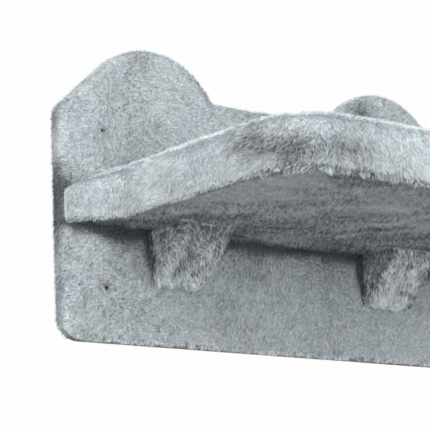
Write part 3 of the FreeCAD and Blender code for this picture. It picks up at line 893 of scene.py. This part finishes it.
def staples(name, count, inset):
    """Staples through the hem round the rear of the board: a back and two legs."""
    loop = board_outline(inset)
    run = run_along(loop)
    inner = STAPLE_HALF - 0.0006
    bars = ((-STAPLE_HALF, STAPLE_HALF, STAPLE_WIRE), (-STAPLE_HALF, -inner, STAPLE_LEG),
            (inner, STAPLE_HALF, STAPLE_LEG))
    points, faces = [], []
    for at in (np.arange(count) + 0.5) / count * run[-1]:
        i = min(int(np.searchsorted(run, at)), len(loop) - 1)
        ahead = unit(loop[i] - loop[i - 1])
        sideways = np.array((-ahead[1], ahead[0])) * STAPLE_WIRE
        for low, high, deep in bars:
            start = len(points)
            for y in (-0.0003, -0.0003 - deep):
                for a, b in ((low, -1), (high, -1), (high, 1), (low, 1)):
                    spot = loop[i] + ahead * a + sideways * b
                    points.append((spot[0], y, spot[1]))
            faces += [[start + k for k in face] for face in BOX_FACES]
    return new_piece(name, points, faces, STEEL, smooth_shaded=False)


def hole_gap(place):
    """Distance in the board's plane to the nearest wall hole."""
    flat = place[:, [0, 2]]
    return np.min([np.linalg.norm(flat - hole, axis=1) for hole in WALL_HOLES], axis=0)


# Where the seat's cover meets the backboard on the left, in x and z.
SEAT_MEETING = np.array(((0.0, -0.0165), (-0.2085, -0.0165), (-0.240, -0.0160), (-0.2520, -0.0120),
                         (-0.2530, 0.0090), (-0.2460, 0.0150)))


def seat_gap(place):
    """Distance in the board's plane to the foot of the seat's cover."""
    flat = columns(-np.abs(place[:, 0]), place[:, 2])
    nearest = 1.0
    for a, b in zip(SEAT_MEETING, SEAT_MEETING[1:]):
        t = np.clip((flat - a) @ (b - a) / ((b - a) @ (b - a)), 0, 1)[:, None]
        nearest = np.minimum(nearest, np.linalg.norm(flat - a - t * (b - a), axis=1))
    return nearest


def contact_shade(place):
    """Painted shade on the pile where the seat and the wedges meet the backboard."""
    aside, z = np.abs(place[:, 0]), place[:, 2]
    end = smooth(aside, 0.240, 0.250)
    between = bell(aside - 0.190, 0.036)
    seat = (0.70 - 0.35 * end + 0.35 * between) * bell(seat_gap(place), 0.0060 + 0.0040 * between)
    beside = np.abs(aside - BRACKET_X) - BRACKET_HALF
    high = smooth(z, BRACKET_FOOT + 0.010, BRACKET_FOOT + 0.042) * (z < LINING)
    return np.maximum(seat, 0.80 * high * bell(beside - 0.001, 0.0034))


def board_shows(place):
    """Where the backboard's front carries pile: not behind the seat, in a hole
    or on the bare bottom edge."""
    x, y, z = place.T
    hidden = (y < -0.017) & (np.abs(x) < SEAT_HALF - 0.004)
    hidden &= (z > LINING + 0.004) & (z < SEAT_SIDE_TOP - 0.006)
    in_hole = (hole_gap(place) < np.where(z > 0, 0.0021, 0.0028)) & (y < -0.004)
    bare = (z < BOTTOM + 0.003) & (y > -0.0145)
    return ~hidden & (y < -0.0014) & ~in_hole & ~bare


DARK_PATCH = (0.116, 0.134)  # a darker patch on the right hump, in x and z


def board_tone_and_shade(place, out, facing, gap):
    """Tone of the backboard's nap: mottled and darker at the lower left, with
    painted shade where the seat and wedges meet it, in the holes' dips, under the
    seat and along the left edge, and painted light below the seat, on the upper
    edges and on the bottom edge and its corners."""
    x, z = place[:, 0], place[:, 2]
    under_seat = z < LINING
    # Mottled, and a little paler below the seat: painted light there.
    tone_and_shade = mottle(place, (0.10, 0.045, 8), (0.08, 0.012, 9)) - 0.04 + 0.03 * under_seat
    tone_and_shade -= 0.10 * (1 - smooth(z, -0.10, 0.02)) * (x < -0.10)
    # On the edges: mottled, and paler where they face up, painted light from above.
    tone_and_shade += (1 - facing) * (0.26 * noise(place, 0.020, 10) + 0.16 * np.maximum(out[:, 2], 0) - 0.05)
    # Painted shade where the seat and wedges meet the board, and in the dips of the holes.
    tone_and_shade -= contact_shade(place) + 0.55 * bell(gap, 0.0048)
    # Painted shadow of the seat on the board below it.
    tone_and_shade -= 0.26 * under_seat * smooth(0.215 - np.abs(x), 0, 0.03) * bell(LINING - z, 0.028)
    # Patchy painted shade along the left edge.
    tone_and_shade -= bell(x + 0.252, 0.014) * (0.06 + 0.34 * noise(place, 0.045, 13))
    # Painted light on the downward faces of the bottom edge, more at its lower corners.
    tone_and_shade += 0.16 * smooth(-out[:, 2], 0.1, 0.6) * (1 + noise(place, 0.006, 14))
    corner = smooth(np.abs(x), 0.226, 0.236) * (z < BOTTOM + 0.020)
    tone_and_shade += 0.34 * corner * smooth(-out[:, 2], 0.3, 0.7)
    patch_gap = np.linalg.norm((place[:, [0, 2]] - DARK_PATCH) / (1.0, 0.8), axis=1)
    return tone_and_shade - 0.50 * bell(patch_gap, 0.016)


def build_backboard():
    points, faces = backboard_shell()
    normal = normals_of(points, faces)
    front = smooth(-points[:, 1], 0.003, 0.006)
    points = points + normal * (lumps(points) * (0.15 + 0.85 * front))[:, None]
    # The cloth dips into the wall holes.
    points[:, 1] += 0.0009 * bell(hole_gap(points), 0.006) * (points[:, 1] < -0.014)
    # The cover gets the same painted shade where the seat and the wedges meet it.
    cover = new_piece("backboard_cover", points, faces, CLOTH,
                      painted_shade=1.3 * contact_shade(points) * (points[:, 1] < -0.012))
    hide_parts("backboard_plush")

    rng = np.random.default_rng(21)
    place, out = scattered(points, faces, 1.6e6, rng, board_shows)
    # The nap is combed down to the left and swirls; at the bottom edge it
    # comes forwards.
    way = swirled(out, (-0.88, 0.0, -0.48), place, (0.9, 0.075, 5), (0.6, 0.028, 6),
                  (0.4, 0.009, 7))
    edge = (0.6 * smooth(-out[:, 2], 0.75, 0.95))[:, None]
    way = tangent(out, way * (1 - edge) + FORWARD * edge)
    gap = hole_gap(place)
    facing = smooth(-out[:, 1], 0.35, 0.85)
    tone_and_shade = board_tone_and_shade(place, out, facing, gap)
    toward = (1.6 * smooth(-out[:, 2], 0.1, 0.6))[:, None] * np.array((0.0, -1.0, 0.6))
    lift = 0.50 - 0.22 * facing
    length = 0.0050 * (0.45 + 0.55 * smooth(gap, 0.002, 0.009)) * (0.85 + 0.15 * facing)
    pieces = []
    x, split = place[:, 0], 0.09
    for side, part in (("left", x < -split), ("middle", np.abs(x) <= split), ("right", x > split)):
        pieces.append(strands(f"backboard_pile_{side}", rng, place[part], out[part], way[part],
                              length[part], tone_and_shade[part], width=0.00076, lift=lift[part],
                              clump=0.0024, pull=0.25, leading=0.18, toward=toward[part],
                              contrast=0.82))
    pieces.append(build_hem_tufts())
    place, out = scattered(points, faces, 1.0e6, rng,
                           lambda m: (m[:, 1] > -0.0012) & (m[:, 2] > BOTTOM + 0.0050))
    way = swirled(out, (-0.6, 0.0, -0.8), place, (1.2, 0.04, 11))
    pieces.append(strands("rear_hem_pile", rng, place, out, way, 0.0034,
                          0.1 * noise(place, 0.02, 12), width=0.0007, lift=0.12))
    pieces.append(staples("rear_staples", 40, 0.016))
    return cover, pieces


def build_hem_tufts():
    """Pale tufts that curl over the backboard's bottom edge and corners."""
    rng = np.random.default_rng(26)
    loop = board_outline(0.0042)
    loop = np.concatenate([loop[-120:], loop[:120]])
    loop = loop[loop[:, 1] < BOTTOM + 0.045]
    count = 400
    centre, along, outward, which = tufts_along(rng, loop, count, each=40, margin=0)
    size = rng.uniform(0.6, 1.25, count)[which]
    spread = rng.normal(0, 1, (len(which), 3)) * (0.0013, 0.0006, 0.0008)
    along, outward = along[which], outward[which]
    flat = centre[which] + along * spread[:, :1] + outward * spread[:, 2:]
    place = at_depth(flat, -BACK + SKIN_DEPTH + 0.0012 + spread[:, 1])
    lean = rng.normal(-0.45, 0.5, count)[which][:, None]
    way = at_depth(outward + along * lean, -0.25)
    out = at_depth(0.35 * outward, -1.0)
    tone_and_shade = rng.uniform(-0.30, 0.20, count)[which]
    return strands("bottom_tufts", rng, place, unit(out), unit(way), 0.0046 * size, tone_and_shade,
                   width=0.00068, lift=0.35, clump=0.003, pull=0.6, segments=2)


# ---- seat ----

# Places on the band where the nap lies the other way and looks darker: centre,
# reach in x, y and z, and depth.
NAP_PATCHES = (
    ((-0.2065, -0.218, 0.018), (0.020, 0.030, 0.015), 0.56),
    ((-0.2020, -0.238, 0.004), (0.020, 0.024, 0.020), 0.34),
    ((-0.1960, -0.258, 0.006), (0.014, 0.014, 0.016), 0.40),
    ((-0.1830, -0.270, 0.004), (0.022, 0.020, 0.017), 0.40),
    ((-0.1580, -0.275, 0.006), (0.017, 0.020, 0.017), 0.32),
    ((-0.1330, -0.275, 0.006), (0.017, 0.020, 0.019), 0.38),
    ((-0.0950, -0.275, 0.000), (0.020, 0.020, 0.014), 0.20),
    ((-0.2070, -0.120, 0.002), (0.020, 0.020, 0.010), 0.12),
)


def build_fringe():
    """Ragged tufts where the cover is turned under the seat's front edge."""
    rng = np.random.default_rng(25)
    count = 165
    centre, along, outward, which = tufts_along(rng, seat_stations()[0], count, each=80,
                                                margin=0.03)
    front = smooth(-centre[:, 1], 0.18, 0.25)
    size = ((0.30 + 0.70 * front) * rng.uniform(0.50, 1.30, count))[which]
    spread = rng.normal(0, 1, (len(which), 3)) * (0.0013, 0.0006, 0.0009) * size[:, None]
    along, outward = along[which], outward[which]
    flat = centre[which] - outward * (0.0030 + spread[:, 1:2]) + along * spread[:, :1]
    place = columns(*flat.T, SEAT_LOW + 0.0066 + spread[:, 2])
    lean = rng.normal(0, 0.55, count)[which][:, None]
    slant = rng.normal(0.30, 0.30, count)[which][:, None]
    way = columns(*(outward * slant + along * lean).T, -0.8)
    out = columns(*outward.T, -0.25)
    # The tufts are darker throughout: painted shade under the seat's edge.
    tone_and_shade = rng.uniform(-0.46, -0.06, count)[which]
    return strands("band_fringe", rng, place, unit(out), unit(way), 0.0054 * size, tone_and_shade,
                   width=0.00065, lift=0.30, clump=0.004, pull=0.6, segments=2)


def on_band(place):
    """Where the seat's cover carries the band's pile: its sides, and beneath
    only the flare."""
    x, y, z = place.T
    side = z > SEAT_LOW + 0.0048 - 0.0045 * (np.abs(x) > 0.2120)
    flare = (y > -BACK - FLARE_DEPTH) & (np.abs(x) > 0.196)
    return (z < crown_height(x) - TOP_EDGE) & (side | flare) & (y < -BACK + 0.0006)


def on_top(place):
    x, y, z = place.T
    return (z >= crown_height(x) - TOP_EDGE) & (y < -BACK - 0.001)


def band_tone_and_shade(place, out, below, low):
    """Tone of the band's nap: paler towards the front and on the right, darker in
    the patches, with painted shade near the wall, under the flare and where it
    is turned under at the front, and painted light near the top."""
    x, y = place[:, 0], place[:, 1]
    tone_and_shade = 0.09 + 0.14 * smooth(-y, 0.045, 0.090) + 0.20 * smooth(x, -0.130, -0.070)
    tone_and_shade += mottle(place, (0.10, 0.035, 33), (0.12, 0.010, 34))
    # Painted light near the top, less where the pile faces straight up.
    tone_and_shade += 0.15 * (1 - smooth(below, 0.004, 0.022)) - 0.20 * smooth(out[:, 2], 0.15, 0.85)
    # Painted shade where the band turns under at the front, and near the wall.
    tone_and_shade -= 0.46 * low * smooth(-y, 0.200, 0.255) + 0.24 * smooth(y, -0.030, -0.012)
    # Painted shade under the flare.
    tone_and_shade -= 0.75 * smooth(-out[:, 2], 0.6, 0.9) * (np.abs(x) > 0.194)
    for spot, reach, depth in NAP_PATCHES:
        tone_and_shade -= depth * np.exp(-np.sum(((place - spot) / reach) ** 2, axis=1))
    return tone_and_shade


def build_seat():
    points, faces = seat_shell()
    normal = normals_of(points, faces)
    swell = 1.1 * lumps(points, 20)
    swell = np.where(np.abs(normal[:, 2]) > 0.5, np.maximum(swell, -0.0003), swell)
    points = points + normal * swell[:, None]
    # Painted shade on the cover beneath the band's lower edge.
    beneath = (points[:, 2] < SEAT_LOW + 0.006) & ((normal[:, 2] < -0.5)
                                                   | (np.abs(points[:, 0]) < SEAT_HALF - 0.004))
    cover = new_piece("seat_cover", points, faces, CLOTH, painted_shade=0.7 * beneath)
    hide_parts("shelf_plush", "shelf_foam")

    rng = np.random.default_rng(22)
    place, out = scattered(points, faces, 1.9e6, rng, on_band)
    way = swirled(out, (-0.10, 0.0, -1.0), place, (0.9, 0.050, 31), (0.9, 0.020, 32),
                  (0.8, 0.007, 39))
    x, y, z = place.T
    low = 1 - smooth(z, SEAT_LOW + 0.005, SEAT_LOW + 0.013)
    side = 1 - smooth(-y, 0.180, 0.230)
    length = 0.0046 + 0.0004 * low - 0.0020 * low * side
    below = crown_height(x) - z
    tone_and_shade = band_tone_and_shade(place, out, below, low)
    lift = 0.36 + 0.30 * (1 - smooth(below, 0.0, 0.014)) + 0.15 * low
    pieces = []
    for side, part in (("left", x < 0), ("right", x >= 0)):
        pieces.append(strands(f"band_pile_{side}", rng, place[part], out[part], way[part],
                              length[part], tone_and_shade[part], width=0.00074, lift=lift[part],
                              clump=0.0026, pull=0.35, leading=0.18, contrast=0.85))
    pieces.append(build_fringe())
    place, out = scattered(points, faces, 1.1e6, rng, on_top)
    way = swirled(out, (-0.3, -1.0, 0), place, (0.9, 0.09, 35), (0.6, 0.03, 36))
    rim = 1.0
    for spot in seat_stations()[0]:
        rim = np.minimum(rim, np.linalg.norm(place[:, :2] - spot, axis=1))
    tone_and_shade = mottle(place, (0.10, 0.05, 37), (0.08, 0.012, 38))
    tone_and_shade += 0.05 * (1 - smooth(rim, 0.012, 0.024))
    pieces.append(strands("seat_top_pile", rng, place, out, way, 0.0058, tone_and_shade, width=0.00075,
                          lift=0.45, clump=0.004, pull=0.3))
    return cover, pieces


# ---- brackets ----

def build_brackets():
    made = []
    # Painted light and shade on the wedges: the left one's sides paler than its front, the right
    # one's darker, and the right one paler as a whole.
    for side, sign, side_shade, overall_shade in (("left", -1, 0.26, 0.03), ("right", 1, -0.24, 0.26)):
        points, faces = bracket_shell(sign * BRACKET_X)
        normal = normals_of(points, faces)
        points = points + normal * lumps(points, 50 + sign)[:, None] * 1.3
        # Painted shade on the cover in the fold by the wall.
        cover = new_piece(f"bracket_cover_{side}", points, faces, CLOTH,
                          painted_shade=bell(points[:, 1] + BACK + 0.001, 0.004))
        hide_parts(f"bracket_plush_{side}")
        rng = np.random.default_rng(60 + sign)
        place, out = scattered(points, faces, 1.7e6, rng,
                               lambda m: (m[:, 1] < -BACK - 0.0005) & (m[:, 2] < LINING - 0.0010))
        way = swirled(out, (0.15, -0.2, -1.0), place, (0.7, 0.03, 61), (0.6, 0.012, 62))
        _, y, z = place.T
        low = 1 - smooth(z, BRACKET_FOOT + 0.004, BRACKET_FOOT + 0.026)
        facing = np.abs(out[:, 0])
        # Mottled and paler at the foot, with each wedge's painted light and shade.
        tone_and_shade = mottle(place, (0.10, 0.02, 63), (0.18, 0.006, 64)) + 0.22 * low + overall_shade - 0.38
        # Painted light on the left wedge's sides and shade on the right's, and painted shade
        # towards the seat and in the fold by the wall.
        tone_and_shade += side_shade * facing - 0.16 * smooth(z, LINING - 0.022, LINING)
        fold = y + BACK + 0.003 + 0.002 * noise(place, 0.01, 65)
        tone_and_shade -= 0.55 * facing * (1 - 0.8 * low) * bell(fold, 0.0030)
        pile = strands(f"bracket_pile_{side}", rng, place, out, way, 0.0054 + 0.0018 * low, tone_and_shade,
                       width=0.00072, lift=0.34 + 0.20 * facing, clump=0.0042, pull=0.55,
                       segments=2)
        made.append((cover, pile))
    return made


# ---- lining ----

def lining_tone_and_shade(x, reach):
    """Tone of the lining: soft diagonal streaks and fine grain, with painted shade
    in the creases, towards the wall and under the front edge, painted light and
    shade on the slopes of the folds, and paler at the left end."""
    bent = 0.018 * noise(columns(x, -BACK - reach, 0), 0.080, 77)
    streaks = columns(x * 0.80 + reach * 0.6, (reach * 0.80 - x * 0.6 + bent) * 2.6, 0)
    grain = columns(x * 0.77 + reach * 0.64, (x * 0.64 - reach * 0.77) * 0.3, 0)
    step = 0.002
    slope = (lining_drop(x, reach + step) - lining_drop(x, reach - step)) / (2 * step)
    tone_and_shade = 0.23 + mottle(streaks, (0.46, 0.045, 74), (0.16, 0.020, 76))
    # Fine grain, painted shade in the pulled creases, and painted light and shade by the folds'
    # slope.
    tone_and_shade += 0.90 * noise(grain, 0.0013, 75) - 110 * pulled(x, reach) - 0.5 * slope
    # Painted shade towards the wall.
    tone_and_shade -= 0.40 * bell(reach, 0.010) + 0.76 * bell(reach, 0.110)
    # Painted shade under the front edge; paler at the left end.
    return tone_and_shade - 0.34 * bell(reach - 0.240, 0.022) + 0.34 * (1 - smooth(x, -0.190, -0.130))


def build_lining():
    points, faces = lining_shell()
    points = points + normals_of(points, faces) * (lumps(points, 70) * 0.5)[:, None]
    cover = new_piece("seat_lining", points, faces, SHADED_LINING_CLOTH)
    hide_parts("shelf_lining")
    rng = np.random.default_rng(71)
    place, out = scattered(points, faces, 1.3e6, rng)
    way = swirled(out, (-0.7, 0.7, 0), place, (0.9, 0.06, 72), (1.4, 0.008, 73))
    nap = strands("seat_lining_nap", rng, place, out, way, 0.0030,
                  lining_tone_and_shade(place[:, 0], -place[:, 1] - BACK), width=0.00060, lift=0.8,
                  clump=0.002, pull=0.15, material=SHADED_LINING_PILE)
    return cover, nap


backboard_cover, backboard_pile = build_backboard()
seat_cover, _ = build_seat()
brackets = build_brackets()
lining, lining_nap = build_lining()

# The CAD nodes that keep their own shape, and the foam inside the cover.
FINISHES = {"backboard_panel": (CHIPBOARD, "chipboard"), "shelf_board": (CHIPBOARD, "chipboard"),
            "shelf_foam": (FOAM, "foam"), "bracket_block_left": (WOOD, "wood"),
            "bracket_block_right": (WOOD, "wood")}
for node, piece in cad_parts.items():
    if node in FINISHES or "screw" in node:
        material, slot = FINISHES.get(node, (STEEL, "steel"))
        piece.data.materials.clear()
        piece.data.materials.append(material)


# ---- studio ----

FLOOR_HALF, FLOOR_LEVEL = 6.0, -0.75


def area_lamp(name, place, size, power):
    """A square lamp that faces the origin."""
    data = bpy.data.lights.new(name, "AREA")
    data.shape = "SQUARE"
    data.size = size
    data.energy = power
    lamp = link_object(name, data)
    lamp.location = place
    lamp.rotation_mode = "QUATERNION"
    lamp.rotation_quaternion = (-Vector(place)).to_track_quat("-Z", "Y")


def seen_rays(tree):
    """1 for rays that show the studio itself, in the picture or a reflection."""
    path = add_node(tree, "LightPath").outputs
    return add_node(tree, "Math", {0: path["Is Camera Ray"], 1: path["Is Glossy Ray"]},
                    operation="MAXIMUM").outputs[0]


def studio():
    scene = bpy.context.scene
    scene.view_settings.view_transform = "Standard"
    world = bpy.data.worlds.new("Studio")
    scene.world = world
    world.use_nodes = True
    tree = world.node_tree
    tree.nodes.clear()
    # Soft light, stronger from above than from below.
    place = add_node(tree, "TexCoord").outputs["Generated"]
    height = add_node(tree, "SeparateXYZ", {0: place}).outputs["Z"]
    strength = add_node(tree, "MapRange", {"Value": height, "From Min": -0.4, "From Max": 1.0,
                                           "To Min": 0.36, "To Max": 0.96}).outputs["Result"]
    light = add_node(tree, "Background", {"Color": (0.99, 0.995, 1.0), "Strength": strength})
    seen = add_node(tree, "Background", {"Color": grey(0.985), "Strength": 1.0})
    mix = add_node(tree, "MixShader", {0: seen_rays(tree), 1: light.outputs[0], 2: seen.outputs[0]})
    add_node(tree, "OutputWorld", {0: mix.outputs[0]})
    area_lamp("Key", (-2.4, -1.4, 2.4), 1.9, 86)
    area_lamp("Front", (-0.3, -2.6, 0.20), 1.4, 20)

    mesh = bpy.data.meshes.new("Floor")
    corners = ((-1, -1), (1, -1), (1, 1), (-1, 1))
    mesh.from_pydata([(x * FLOOR_HALF, y * FLOOR_HALF, FLOOR_LEVEL) for x, y in corners], [],
                     [(0, 1, 2, 3)])
    material, tree, shader, place = new_material("FloorPaint", 0.9, 0.1)
    paint = ramp(tree, speckle(tree, place, 3.0), (0.3, grey(0.80)), (0.7, grey(0.83)))
    wire(tree, shader, {"Base Color": mix_colour(tree, "MIX", seen_rays(tree),
                                                 (0.68, 0.69, 0.70), paint)})
    mesh.materials.append(material)
    link_object("Floor", mesh)


studio()
